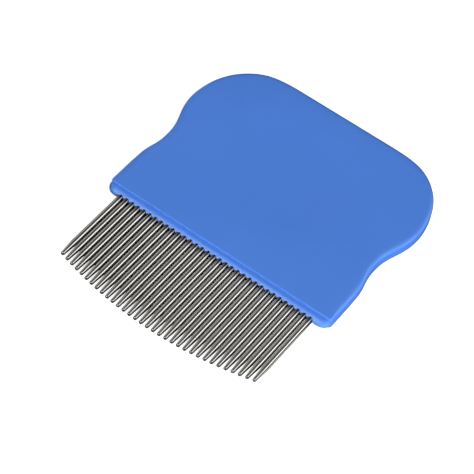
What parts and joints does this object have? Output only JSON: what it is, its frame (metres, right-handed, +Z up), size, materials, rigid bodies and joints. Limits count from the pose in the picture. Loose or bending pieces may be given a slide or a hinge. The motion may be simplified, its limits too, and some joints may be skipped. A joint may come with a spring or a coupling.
{
  "type": "flea comb",
  "caption": "Palm-sized flea comb: a row of close-set parallel round steel pins with tips on a gentle arc, held in a carrier bar under a flat blue waisted plastic grip.",
  "frame": {"origin": "on the underside of the grip, in the middle of the overall length and width", "axes": "+Z up through the thickness, +Y from the pin tips towards the back of the grip, +X along the row of pins"},
  "size_m": [0.07, 0.0848, 0.0035],
  "materials": {
    "grip_plastic": "satin moulded blue",
    "bar_plastic": "smooth moulded blue",
    "pin_steel": "drawn and polished stainless"
  },
  "bodies": {
    "root": {"grip": "grip_plastic", "pin_bar": "bar_plastic", "pin_01": "pin_steel", "pin_02": "pin_steel", "pin_03": "pin_steel", "pin_04": "pin_steel", "pin_05": "pin_steel", "pin_06": "pin_steel", "pin_07": "pin_steel", "pin_08": "pin_steel", "pin_09": "pin_steel", "pin_10": "pin_steel", "pin_11": "pin_steel", "pin_12": "pin_steel", "pin_13": "pin_steel", "pin_14": "pin_steel", "pin_15": "pin_steel", "pin_16": "pin_steel", "pin_17": "pin_steel", "pin_18": "pin_steel", "pin_19": "pin_steel", "pin_20": "pin_steel", "pin_21": "pin_steel", "pin_22": "pin_steel", "pin_23": "pin_steel", "pin_24": "pin_steel", "pin_25": "pin_steel", "pin_26": "pin_steel", "pin_27": "pin_steel", "pin_28": "pin_steel", "pin_29": "pin_steel", "pin_30": "pin_steel", "pin_31": "pin_steel", "pin_32": "pin_steel", "pin_33": "pin_steel"}
  },
  "joints": []
}
